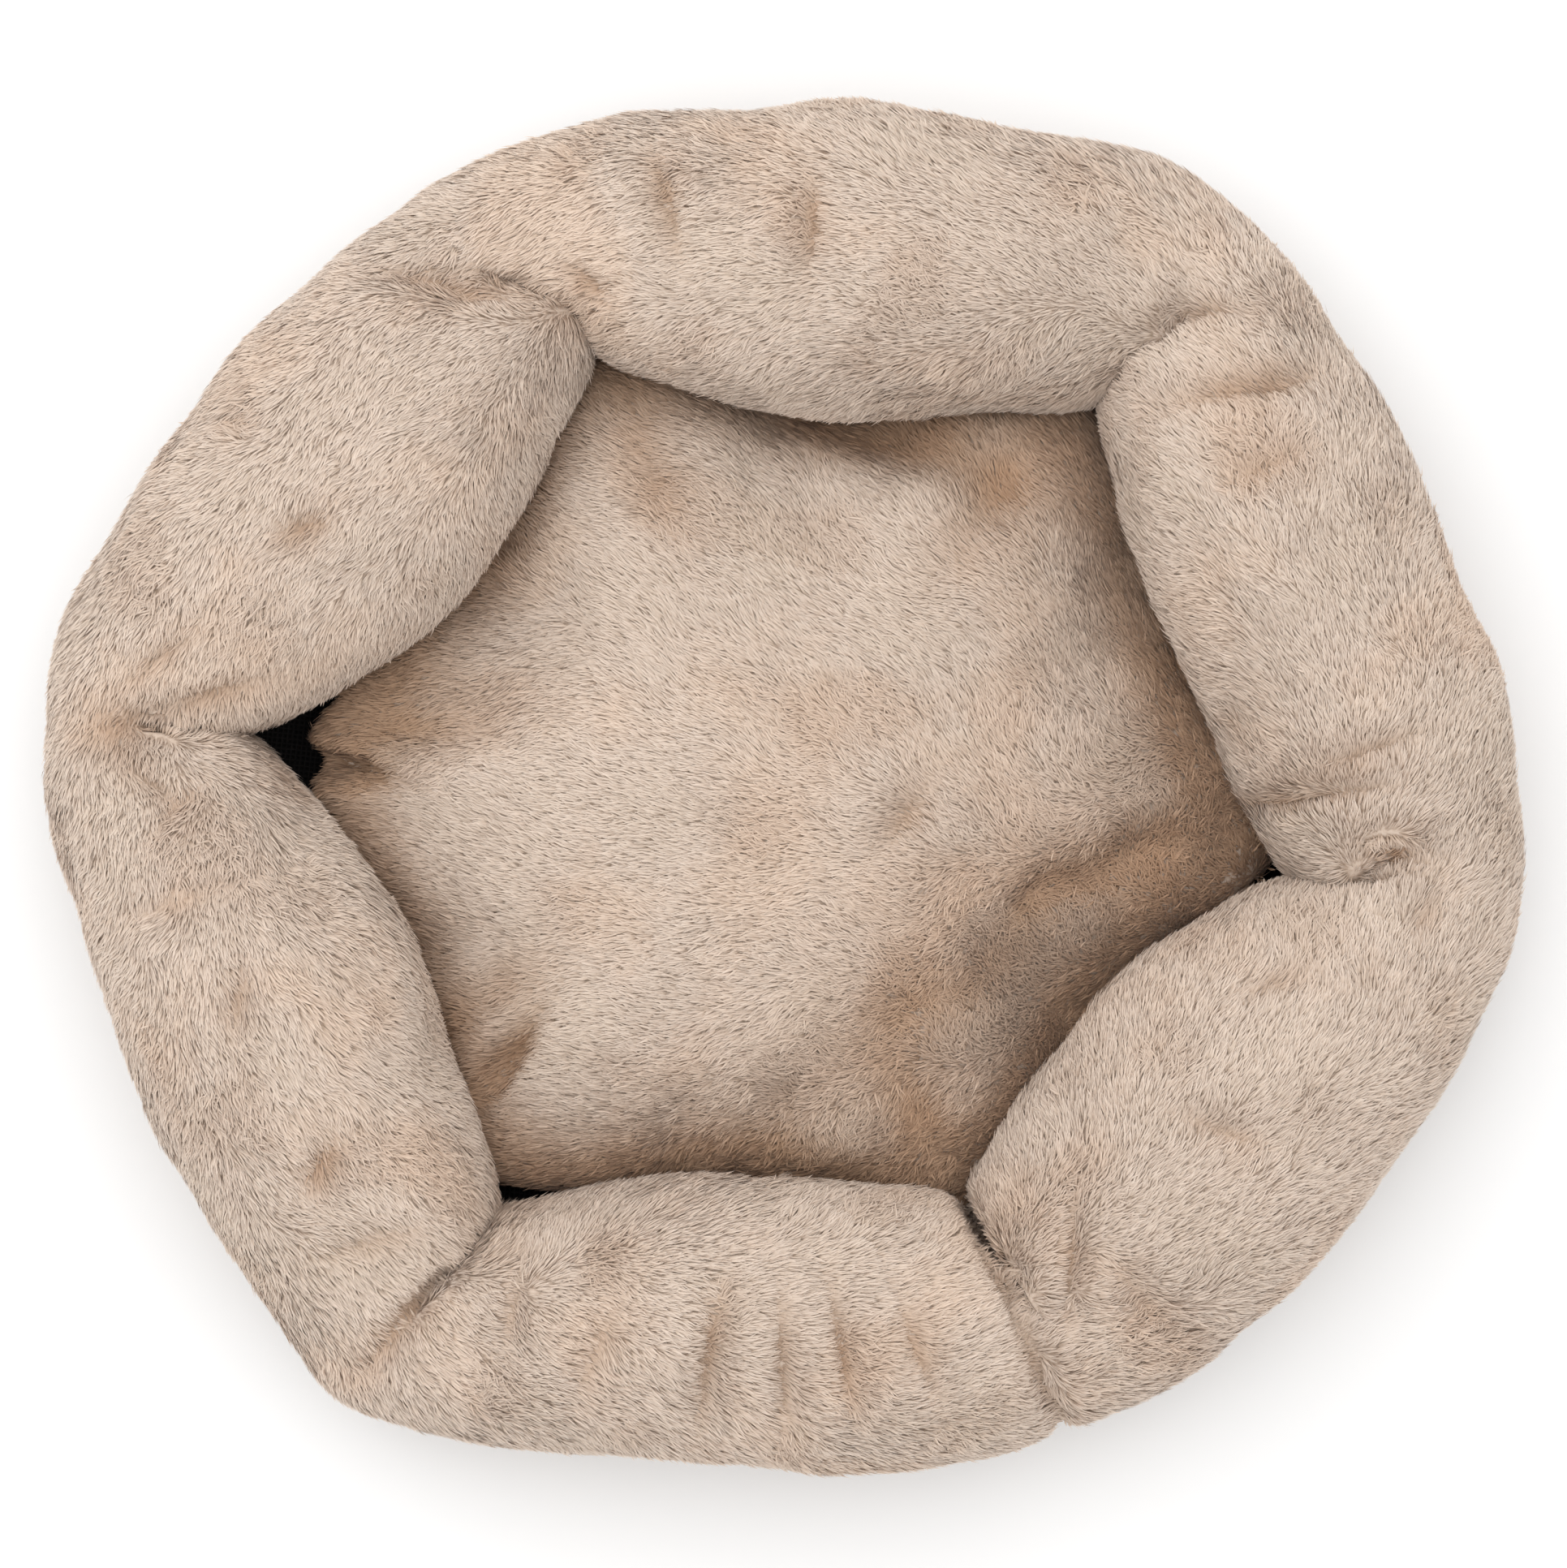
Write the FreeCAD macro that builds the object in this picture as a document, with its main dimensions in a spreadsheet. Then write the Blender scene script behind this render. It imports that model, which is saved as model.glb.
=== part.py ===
import FreeCAD, Part
import math
import os
import Sketcher
from FreeCAD import Placement, Rotation, Vector
from Sketcher import Constraint

# Six-sided plush pet bed, in millimetres. +Z is up, the underside lies on Z = 0, the ring's axis is the
# Z axis and one corner of the hexagon points along +X. The raised rim is a stuffed tube in six sections
# that bulge into the nest and are gathered at the inner corners. A loose crowned cushion lies inside, on
# a two-layer woven floor, and lifts straight out.

SIDES = 6
SIDE_TURN = 360 / SIDES  # degrees from one corner to the next
HALF_TURN = SIDE_TURN / 2  # degrees from a corner to the middle of a side

# Driving dimensions: alias, value, meaning.
DIMENSIONS = [
    # rim, in plan, as radii from the Z axis
    ("outer_mid", 291, "outer radius of the rim at the middle of a side"),
    ("outer_shoulder", 299, "outer radius at a shoulder station"),
    ("outer_corner", 309, "outer radius at a corner"),
    ("inner_mid", 158, "inner radius at the middle of a side, where it bulges most"),
    ("inner_shoulder", 175, "inner radius at a shoulder station"),
    ("inner_corner", 205, "inner radius at a corner, where the tube is gathered"),
    # rim, in height above the woven floor that it stands on
    ("height_mid", 135, "tube height at the middle of a side"),
    ("height_shoulder", 130, "tube height at a shoulder station"),
    ("height_corner", 116, "tube height at a corner"),
    ("sag", 9, "how far the tube is pressed flat where it stands"),
    ("shoulder_angle", 20, "angle from the middle of a side to a shoulder station"),
    ("corner_angle", 30, "angle from the middle of a side to a corner"),
    ("cover_wall", 4, "plush backing and packed pile root"),
    # woven floor: centre to side, corner radius and thickness
    ("panel_flat", 254, "underside panel, centre to side"),
    ("panel_round", 110, "underside panel, corner radius"),
    ("panel_thick", 1.5, "underside panel, thickness"),
    ("lining_flat", 252, "floor lining, centre to side"),
    ("lining_round", 108, "floor lining, corner radius"),
    ("lining_thick", 1.5, "floor lining, thickness"),
    # loose cushion: each level's rise above the sole, centre to side and corner radius
    ("cushion_gap", 0.3, "air between the loose cushion and the floor lining"),
    ("sole_rise", 0, "sole, rise"),
    ("sole_flat", 126, "sole, centre to side"),
    ("sole_round", 34, "sole, corner radius"),
    ("belly_rise", 14, "belly, rise"),
    ("belly_flat", 147, "belly, centre to side"),
    ("belly_round", 32, "belly, corner radius"),
    ("seam_rise", 30, "seam, rise"),
    ("seam_flat", 156, "seam, centre to side"),
    ("seam_round", 30, "seam, corner radius"),
    ("upper_rise", 54, "upper, rise"),
    ("upper_flat", 136, "upper, centre to side"),
    ("upper_round", 34, "upper, corner radius"),
    ("brow_rise", 70, "brow, rise"),
    ("brow_flat", 98, "brow, centre to side"),
    ("brow_round", 36, "brow, corner radius"),
    ("crown_rise", 78, "crown, rise"),
    ("crown_flat", 42, "crown, centre to side"),
    ("crown_round", 24, "crown, corner radius"),
    # thread bar that holds each gather
    ("tack_radius", 1.2, "thread bar radius"),
    ("tack_length", 16, "thread bar length"),
    ("tack_bite", 1, "how far inside the inner corner's radius the bar's axis stands"),
    ("tack_rise", 54, "height of the bar's foot above the woven floor"),
]

# The rim's stations along one side, from corner to corner: kind, and which way its angle turns.
RIM_STATIONS = [("corner", "-1"), ("shoulder", "-1"), ("mid", "0"), ("shoulder", "1"), ("corner", "1")]

# The cushion's levels, from the floor up, on each side of its seam.
LOWER_LEVELS = ["sole", "belly", "seam"]
UPPER_LEVELS = ["seam", "upper", "brow", "crown"]

# Where the filling's skin lies against the cushion's cover: which way the wall moves each level.
LEVEL_SHIFT = {"sole": "1", "belly": "0.5", "seam": "0", "upper": "-0.5", "brow": "-1", "crown": "-1"}

NO_WALL = "0 * sheet.cover_wall"
ONE_WALL = "sheet.cover_wall"
WOVEN_FLOOR = "(sheet.panel_thick + sheet.lining_thick)"

doc = FreeCAD.newDocument("pet_bed")
sheet = doc.addObject("Spreadsheet::Sheet", "sheet")
for row, (alias, number, meaning) in enumerate(DIMENSIONS, start=1):
    sheet.set(f"A{row}", alias)
    sheet.set(f"B{row}", str(number))
    sheet.set(f"C{row}", meaning)
    sheet.setAlias(f"B{row}", alias)
doc.recompute()


def value(expression):
    """What an expression on the sheet comes to now, for a sketch's first guess."""
    return float(sheet.evalExpression(expression))


def new_body(label):
    """A body whose label is its node's name."""
    body = doc.addObject("PartDesign::Body", label)
    body.Label = label
    return body


def new_sketch(body, name, role):
    """An empty sketch on the body's own origin plane with this role, such as XY_Plane."""
    plane = next(feature for feature in body.Origin.OriginFeatures if feature.Role == role)
    sketch = body.newObject("Sketcher::SketchObject", name)
    sketch.AttachmentSupport = [(plane, "")]
    sketch.MapMode = "FlatFace"
    return sketch


def dimension(sketch, kind, *geometry, expression):
    """Adds a driving constraint that is tied to the sheet."""
    index = sketch.addConstraint(Constraint(kind, *geometry, value(expression)))
    sketch.setExpression(f"Constraints[{index}]", expression)


def add_loft(body, kind, name, sketches):
    """An AdditiveLoft or SubtractiveLoft through the sketches, in order."""
    loft = body.newObject(f"PartDesign::{kind}", name)
    loft.Profile = (sketches[0], [""])
    loft.Sections = [(sketch, [""]) for sketch in sketches[1:]]
    return loft


# ---------------------------------------------------------------- rim tube


def tube_section(body, name, station, turn, inset):
    """An upright section of the tube on its flat foot: an ellipse cut off by a level chord."""
    sketch = new_sketch(body, name, "XZ_Plane")
    if station != "mid":
        sketch.AttachmentOffset = Placement(Vector(), Rotation(Vector(0, 1, 0), 1))
        sketch.setExpression("AttachmentOffset.Rotation.Angle", f"{turn} * sheet.{station}_angle")

    outer = f"sheet.outer_{station}"
    inner = f"sheet.inner_{station}"
    height = f"sheet.height_{station}"
    middle_x = f"({outer} + {inner}) / 2"
    middle_z = f"{WOVEN_FLOOR} + ({height} - sheet.sag) / 2"
    foot_z = f"{WOVEN_FLOOR} + {inset}"
    width = f"{outer} - {inner} - 2 * {inset}"
    tall = f"{height} + sheet.sag - 2 * {inset}"

    # the same shape as a first guess, so that the constraints keep its arc the right way up
    centre = Vector(value(middle_x), value(middle_z), 0)
    up = Vector(0, value(tall) / 2, 0)
    side = Vector(value(width) / 2, 0, 0)
    half_gap = math.acos((centre.y - value(foot_z)) / up.y)
    ellipse = Part.Ellipse(centre + up, centre - side, centre)
    arc = Part.ArcOfEllipse(ellipse, math.pi + half_gap, 3 * math.pi - half_gap)
    foot = Vector(centre.x, value(foot_z), 0)
    reach = side * math.sin(half_gap)

    oval = sketch.addGeometry(arc)
    sketch.exposeInternalGeometry(oval)
    long_axis, short_axis = oval + 1, oval + 2
    chord = sketch.addGeometry(Part.LineSegment(foot - reach, foot + reach))
    sketch.addConstraint(Constraint("Coincident", chord, 1, oval, 2))
    sketch.addConstraint(Constraint("Coincident", chord, 2, oval, 1))
    sketch.addConstraint(Constraint("Horizontal", chord))
    sketch.addConstraint(Constraint("Vertical", long_axis))
    dimension(sketch, "DistanceX", -1, 1, oval, 3, expression=middle_x)
    dimension(sketch, "DistanceY", -1, 1, oval, 3, expression=middle_z)
    dimension(sketch, "DistanceY", -1, 1, chord, 1, expression=foot_z)
    dimension(sketch, "Distance", long_axis, expression=tall)
    dimension(sketch, "Distance", short_axis, expression=width)
    return sketch


def tube_loft(body, kind, name, inset):
    """One side of the rim, from corner plane to corner plane, drawn along +X."""
    sketches = [
        tube_section(body, f"{name}_{number}", station, turn, inset)
        for number, (station, turn) in enumerate(RIM_STATIONS)
    ]
    return add_loft(body, kind, name, sketches)


def turn_to_side(body, index):
    """Turns a body drawn along +X to its own side of the hexagon."""
    body.Placement.Rotation = Rotation(Vector(0, 0, 1), SIDE_TURN * index + HALF_TURN)


def make_bolster_cover(index):
    """A plush sleeve, open where it is sewn to the next sleeve at each corner."""
    body = new_body(f"bolster_cover_{index + 1}")
    tube_loft(body, "AdditiveLoft", f"sleeve_{index + 1}", NO_WALL)
    tube_loft(body, "SubtractiveLoft", f"hollow_{index + 1}", ONE_WALL)
    turn_to_side(body, index)
    return body


def make_bolster_filling(index):
    """The fibre stuffing of one sleeve."""
    body = new_body(f"bolster_filling_{index + 1}")
    tube_loft(body, "AdditiveLoft", f"stuffing_{index + 1}", ONE_WALL)
    turn_to_side(body, index)
    return body


# ---------------------------------------------------------------- rounded hexagons


def rounded_hexagon(body, name, flat, corner, level):
    """Six lines and six tangent corner arcs, with a corner on +X, at the level given."""
    sketch = new_sketch(body, name, "XY_Plane")
    sketch.setExpression("AttachmentOffset.Base.z", level)
    reach = f"({flat} - {corner}) / cos({HALF_TURN} deg)"
    radius = value(corner)

    def heading(angle, length):
        return Vector(length * math.cos(math.radians(angle)), length * math.sin(math.radians(angle)), 0)

    arcs = []
    lines = []
    for index in range(SIDES):
        angle = SIDE_TURN * index
        centre = heading(angle, value(reach))
        next_centre = heading(angle + SIDE_TURN, value(reach))
        circle = Part.Circle(centre, Vector(0, 0, 1), radius)
        start, end = math.radians(angle - HALF_TURN), math.radians(angle + HALF_TURN)
        arcs.append(sketch.addGeometry(Part.ArcOfCircle(circle, start, end)))
        outward = heading(angle + HALF_TURN, radius)
        lines.append(sketch.addGeometry(Part.LineSegment(centre + outward, next_centre + outward)))

    for index, arc in enumerate(arcs):
        line = lines[index]
        next_arc = arcs[(index + 1) % SIDES]
        sketch.addConstraint(Constraint("Tangent", arc, 2, line, 1))
        sketch.addConstraint(Constraint("Tangent", line, 2, next_arc, 1))
        if index:
            sketch.addConstraint(Constraint("Equal", arcs[0], arc))
            angle = f"{SIDE_TURN * index} deg"
            dimension(sketch, "DistanceX", -1, 1, arc, 3, expression=f"{reach} * cos({angle})")
        if index % 3:
            dimension(sketch, "DistanceY", -1, 1, arc, 3, expression=f"{reach} * sin({angle})")
        else:
            sketch.addConstraint(Constraint("PointOnObject", arc, 3, -1))
    dimension(sketch, "DistanceX", -1, 1, arcs[0], 3, expression=reach)
    dimension(sketch, "Radius", arcs[0], expression=corner)
    return sketch


def make_sheet(label, flat, corner, thick, level):
    """A flat rounded hexagon of woven cloth."""
    body = new_body(label)
    outline = rounded_hexagon(body, f"{label}_outline", flat, corner, level)
    pad = body.newObject("PartDesign::Pad", f"{label}_pad")
    pad.Profile = outline
    pad.setExpression("Length", thick)
    return body


# ---------------------------------------------------------------- loose cushion


def cushion_loft(body, kind, name, levels, wall):
    """The cushion between its levels, with its skin moved in by the wall."""
    sketches = []
    for level in levels:
        rise = f"{WOVEN_FLOOR} + sheet.cushion_gap + sheet.{level}_rise + {LEVEL_SHIFT[level]} * {wall}"
        flat = f"(sheet.{level}_flat - {wall})"
        corner = f"(sheet.{level}_round - {wall})"
        sketches.append(rounded_hexagon(body, f"{name}_{level}", flat, corner, rise))
    return add_loft(body, kind, name, sketches)


def make_cushion_cover(label, levels):
    """One half of the cushion's plush cover, from its seam to its sole or crown."""
    body = new_body(label)
    cushion_loft(body, "AdditiveLoft", f"{label}_outside", levels, NO_WALL)
    cushion_loft(body, "SubtractiveLoft", f"{label}_hollow", levels, ONE_WALL)
    return body


def make_cushion_filling():
    """The cushion's fibre stuffing, both sides of the seam."""
    body = new_body("cushion_filling")
    cushion_loft(body, "AdditiveLoft", "filling_below", LOWER_LEVELS, ONE_WALL)
    cushion_loft(body, "AdditiveLoft", "filling_above", UPPER_LEVELS, ONE_WALL)
    return body


# ---------------------------------------------------------------- corner tacks


def make_corner_tacks():
    """A short upright bar of thread in the fold of each inner corner."""
    bars = []
    for index in range(SIDES):
        bar = doc.addObject("Part::Cylinder", f"tack_{index + 1}")
        bar.setExpression("Radius", "sheet.tack_radius")
        bar.setExpression("Height", "sheet.tack_length")
        stand = "(sheet.inner_corner - sheet.tack_bite)"
        bar.setExpression("Placement.Base.x", f"{stand} * cos({SIDE_TURN * index} deg)")
        bar.setExpression("Placement.Base.y", f"{stand} * sin({SIDE_TURN * index} deg)")
        bar.setExpression("Placement.Base.z", f"{WOVEN_FLOOR} + sheet.tack_rise")
        bars.append(bar)
    tacks = doc.addObject("Part::Compound", "corner_tacks")
    tacks.Label = "corner_tacks"
    tacks.Links = bars
    return tacks


# ---------------------------------------------------------------- assembly

nodes = [make_bolster_cover(index) for index in range(SIDES)]
nodes += [make_bolster_filling(index) for index in range(SIDES)]
nodes.append(make_sheet("base_panel", "sheet.panel_flat", "sheet.panel_round", "sheet.panel_thick", "0 mm"))
nodes.append(
    make_sheet(
        "floor_lining", "sheet.lining_flat", "sheet.lining_round", "sheet.lining_thick", "sheet.panel_thick"
    )
)
nodes.append(make_corner_tacks())
nodes.append(make_cushion_cover("cushion_underside", LOWER_LEVELS))
nodes.append(make_cushion_cover("cushion_top", UPPER_LEVELS))
nodes.append(make_cushion_filling())
doc.recompute()

for thing in doc.Objects:
    if "Invalid" in thing.State or "Error" in thing.State:
        raise RuntimeError(f"{thing.Label} failed: {thing.State}")
for node in nodes:
    if node.Shape.isNull() or not node.Shape.isValid():
        raise RuntimeError(f"{node.Label} has no valid shape")

os.makedirs("parts", exist_ok=True)
for node in nodes:
    node.Shape.exportStep(f"parts/{node.Label}.step")
    box = node.Shape.BoundBox
    print(
        f"{node.Label:20s} solids {len(node.Shape.Solids)}  {node.Shape.Volume / 1000:9.1f} cm3  "
        f"x {box.XMin:7.1f} {box.XMax:7.1f}  y {box.YMin:7.1f} {box.YMax:7.1f}  "
        f"z {box.ZMin:6.1f} {box.ZMax:6.1f}"
    )
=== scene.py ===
from collections import namedtuple
import math

import bpy
import numpy as np
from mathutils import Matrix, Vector


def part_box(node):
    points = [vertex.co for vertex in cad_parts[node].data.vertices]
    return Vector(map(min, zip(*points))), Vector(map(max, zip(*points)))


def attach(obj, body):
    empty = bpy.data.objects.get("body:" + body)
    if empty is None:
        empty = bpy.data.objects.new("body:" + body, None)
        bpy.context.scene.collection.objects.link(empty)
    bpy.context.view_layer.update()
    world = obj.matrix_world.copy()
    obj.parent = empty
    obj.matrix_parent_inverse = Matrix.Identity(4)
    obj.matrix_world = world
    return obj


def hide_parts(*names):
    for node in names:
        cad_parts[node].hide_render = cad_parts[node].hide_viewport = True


# A pet cushion bed. Six stuffed bolsters, gathered at their inner corners, make a ring round a loose cushion.
# All of it is covered with a short combed plush, whose pile is made of real blades.
# Lengths are metres and plan angles are degrees, anticlockwise from +X seen from above.

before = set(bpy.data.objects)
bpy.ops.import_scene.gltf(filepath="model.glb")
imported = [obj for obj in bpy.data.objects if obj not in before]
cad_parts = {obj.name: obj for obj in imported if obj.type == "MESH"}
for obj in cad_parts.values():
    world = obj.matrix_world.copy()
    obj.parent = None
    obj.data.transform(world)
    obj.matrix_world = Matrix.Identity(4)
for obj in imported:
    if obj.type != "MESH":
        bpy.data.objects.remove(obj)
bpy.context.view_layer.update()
rng = np.random.default_rng(7)

# ------------------------------------------------------------------------------ the shape's values

SIDES = 6
SIDE_TURN = 360 / SIDES
COLUMNS = 54  # cells along each bolster
ROWS = 72  # cells round the tube

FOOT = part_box("bolster_cover_1")[0][2]  # the rim stands on the base panel
PANEL_CORNERS, PANEL_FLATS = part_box("base_panel")[1][:2]
FLOOR_CLEARANCE = 0.0004
FOOT_COVER = 0.005  # the rim's foot hides the base panel's edge by this much
FOOT_SAG = 0.004  # past the panel's edge, and this gap, the foot comes down to the ground over this far
FOOT_GAP = 0.001
FOOT_INSET = 0.002  # the foot stays this far inside the rim's outline
FOOT_CORNER = 0.55  # the foot's outer edge is where the section's cosine passes this
RIM_HEIGHT = 0.133  # of a side's middle, above its foot
CORNER_HEIGHT = 0.114
CREASE_DIP = 0.020  # the creases' lips roll down by this much
LIP_TURN = 3.0  # degrees from the crease over which its lips roll
SLIT_TURN = 0.25  # degrees from the corner within which the inner half turns in to the slit
CORNER_ROUNDING = 7.0  # degrees either side of a corner
PILE = 0.004  # the pile stands this proud of the skin
LOBE_SHARE = 0.8  # how much of a gather's depth the curves of its two sides make
NOTCH_SHARE = 0.2  # and how much a notch makes that is this many degrees wide
NOTCH_TURN = 1.5

# The tube's section as a share of its height: its middle's height, and its rise above and fall below that.
SECTION_MIDDLE = 0.47
SECTION_RISE = 0.53
SECTION_FALL = 0.60
SECTION_WIDTH = 0.068  # half of a middle section's width, height, and how far down it is flat
SECTION_HEIGHT = 0.070
SECTION_FLAT = -0.055
SLIT_FOOT = math.radians(235)  # the slit fades out towards this place on the section
SLIT_FADE = math.radians(45)
VALLEY_WIDTH = 0.026  # the creases' valleys reach this far beyond their slits and fade over VALLEY_FADE
VALLEY_FADE = 0.040

# Each corner's and each side's reach from the bed's axis. Handling has left them all a little different.
CORNER_OUTER = np.array([0.309, 0.307, 0.288, 0.311, 0.310, 0.288]) - PILE
MIDDLE_OUTER = np.array([0.290, 0.285, 0.290, 0.289, 0.275, 0.291]) - PILE
MIDDLE_INNER = np.array([0.174, 0.160, 0.160, 0.171, 0.160, 0.156]) + PILE
GATHER = np.array([0.230, 0.231, 0.220, 0.246, 0.230, 0.194])
CREASE_END = np.array([0.250, 0.252, 0.238, 0.258, 0.252, 0.226])  # each crease's slit runs outward to here
GATHER_TURN = np.array([-3.0, -1.5, 0.0, 0.0, 2.0, 0.0])  # each gather sits this far off its corner
CREASE_LEAN = np.array([19.0, -21.0, 42.0, -6.0, -8.0, 12.0])  # each crease's turn away from straight out

CLOTH_STEPS = 20
LOOSE = 0.02  # how firmly the cloth simulation holds the free points
RIM_PRESSURE = 4.0
RIM_SWELL = 0.010  # no point of the rim moves further than this
RELAX_PASSES = 14
RELAX_SHARE = 0.5
RELAX_TURN = 3  # degrees from a corner, fading over RELAX_TURN_FADE
RELAX_TURN_FADE = 4
RELAX_START = 0.008  # this far outside the crease's end, fading over RELAX_FADE
RELAX_FADE = 0.012
LOW = 0.02  # the seam and the relaxing start above this height and grow over LOW_FADE
LOW_FADE = 0.03
END_CLEARANCE = 0.0003  # neighbouring bolsters are this far apart at their ends, each side of the corner
LEAN_FADE = 0.245  # the creases' lean fades out from this reach, over LEAN_FADE_LENGTH
LEAN_FADE_LENGTH = 0.055
LEAN_TURN = 20  # and over this many degrees along the sides
SEAM_DEPTH = 0.005
SEAM_WIDTH = 0.005


def smooth_step(value):
    """0 below 0, 1 above 1 and a smooth rise between."""
    value = np.clip(value, 0, 1)
    return value * value * (3 - 2 * value)


def polar(points):
    """Each point's plan angle in degrees and its reach from the bed's axis."""
    east, north = points[..., 0], points[..., 1]
    return np.degrees(np.arctan2(north, east)), np.hypot(east, north)


def waves(points, size, seed, count=14):
    """A smooth random field of about -1 to 1 whose humps are about `size` across."""
    draw = np.random.default_rng(seed)
    headings = draw.normal(size=(count, 3))
    headings /= np.linalg.norm(headings, axis=1)[:, None]
    lengths = size * draw.uniform(1.4, 2.8, count)
    phases = draw.uniform(0, math.tau, count)
    field = np.sin(points @ (headings * (math.tau / lengths)[:, None]).T + phases)
    return field.sum(axis=1) / math.sqrt(count / 2) / 1.5


# ---------------------------------------------------------------------------------- the rim's skin


def rim_profile(angle):
    """Outer and inner reach and height at each plan angle, and the nearest corner's distance and slit."""
    turn = angle / SIDE_TURN
    side = np.floor(turn).astype(int) % SIDES
    corner = np.round(turn).astype(int) % SIDES
    away = np.abs(turn - np.round(turn)) * SIDE_TURN
    near = (1 - away / (SIDE_TURN / 2)) ** 2
    rounded = np.sqrt(away**2 + CORNER_ROUNDING**2) - CORNER_ROUNDING
    soft = np.clip(1 - rounded / (SIDE_TURN / 2 - CORNER_ROUNDING), 0, 1) ** 2
    outer = MIDDLE_OUTER[side] + (CORNER_OUTER[corner] - MIDDLE_OUTER[side]) * soft
    lobe = LOBE_SHARE * near + NOTCH_SHARE * np.exp(-away / NOTCH_TURN)
    inner = MIDDLE_INNER[side] + (GATHER[corner] - MIDDLE_INNER[side]) * lobe
    height = RIM_HEIGHT - (RIM_HEIGHT - CORNER_HEIGHT) * soft
    return outer, inner, height, away, CREASE_END[corner]


def panel_edge(angle):
    """The base panel's reach at each plan angle."""
    from_middle = np.abs(angle % SIDE_TURN - SIDE_TURN / 2)
    return np.minimum(PANEL_FLATS / np.cos(np.radians(from_middle)), PANEL_CORNERS)


def foot_height(east, north):
    """The height of what the rim rests on: the base panel's top, and past its edge nearly the ground."""
    edge = panel_edge(np.degrees(np.arctan2(north, east)))
    beyond = smooth_step((np.hypot(east, north) - edge - FOOT_GAP) / FOOT_SAG)
    return FOOT + (FLOOR_CLEARANCE - FOOT) * beyond


def row_angles():
    """Angles round the tube's section, from its outside over the top, evenly spaced in a middle section."""
    angle = np.linspace(0, math.tau, 2001)
    across = SECTION_WIDTH * np.cos(angle)
    up = np.maximum(SECTION_HEIGHT * np.sin(angle), SECTION_FLAT)
    run = np.concatenate([[0], np.cumsum(np.hypot(np.diff(across), np.diff(up)))])
    return np.interp(np.arange(ROWS) / ROWS * run[-1], run, angle)


def rim_grid():
    """The rim before it is stuffed: points (column, row), where every column at a corner is a crease."""
    step = np.linspace(0, 1, 260) ** 3 * (SIDE_TURN / 2)
    across = np.concatenate([step, (SIDE_TURN - step[::-1])[1:]])
    grid = np.zeros((SIDES * COLUMNS, ROWS, 3))
    for side in range(SIDES):
        angle = np.clip(across, 1e-7, SIDE_TURN - 1e-7) + side * SIDE_TURN
        outer, inner, height, away, crease_end = rim_profile(angle)
        for row, turn in enumerate(row_angles()):
            reach = outer - (outer - inner) / 2 * (1 - math.cos(turn))
            if math.sin(turn) < 0 and math.cos(turn) > FOOT_CORNER:
                reach = np.maximum(reach, np.minimum(panel_edge(angle) + FOOT_COVER, outer - FOOT_INSET))
            valley = smooth_step((crease_end + VALLEY_WIDTH - reach) / VALLEY_FADE)
            slit = smooth_step((SLIT_FOOT - turn) / SLIT_FADE) * np.exp(-away / SLIT_TURN)
            reach += np.maximum(crease_end - reach, 0) * slit
            tall = height - CREASE_DIP * np.exp(-away / LIP_TURN) * valley
            rise = SECTION_RISE if math.sin(turn) > 0 else SECTION_FALL
            plan = np.radians(angle)
            east, north = reach * np.cos(plan), reach * np.sin(plan)
            up = np.maximum(FOOT + tall * (SECTION_MIDDLE + rise * math.sin(turn)), foot_height(east, north))
            line = np.stack([east, north, up], axis=1)
            run = np.concatenate([[0], np.cumsum(np.linalg.norm(np.diff(line, axis=0), axis=1))])
            places = np.arange(COLUMNS) / COLUMNS * run[-1]
            for axis in range(3):
                grid[side * COLUMNS : (side + 1) * COLUMNS, row, axis] = np.interp(places, run, line[:, axis])
    return grid


def grid_faces(columns, rows, around):
    """Quads of a (column, row) grid whose rows close round, and whose columns close round too if `around`."""
    column = np.arange(columns if around else columns - 1)[:, None]
    row = np.arange(rows)[None, :]
    following = (column + 1) % columns
    above = (row + 1) % rows
    corners = [column * rows + row, following * rows + row, following * rows + above, column * rows + above]
    return np.stack(np.broadcast_arrays(*corners), axis=-1).reshape(-1, 4)


def new_piece(name, points, faces):
    """A mesh object with smooth faces, in the bed's own frame."""
    mesh = bpy.data.meshes.new(name)
    mesh.from_pydata([tuple(p) for p in points], [], [tuple(f) for f in faces])
    mesh.shade_smooth()
    mesh.update()
    piece = bpy.data.objects.new(name, mesh)
    bpy.context.scene.collection.objects.link(piece)
    return piece


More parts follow.
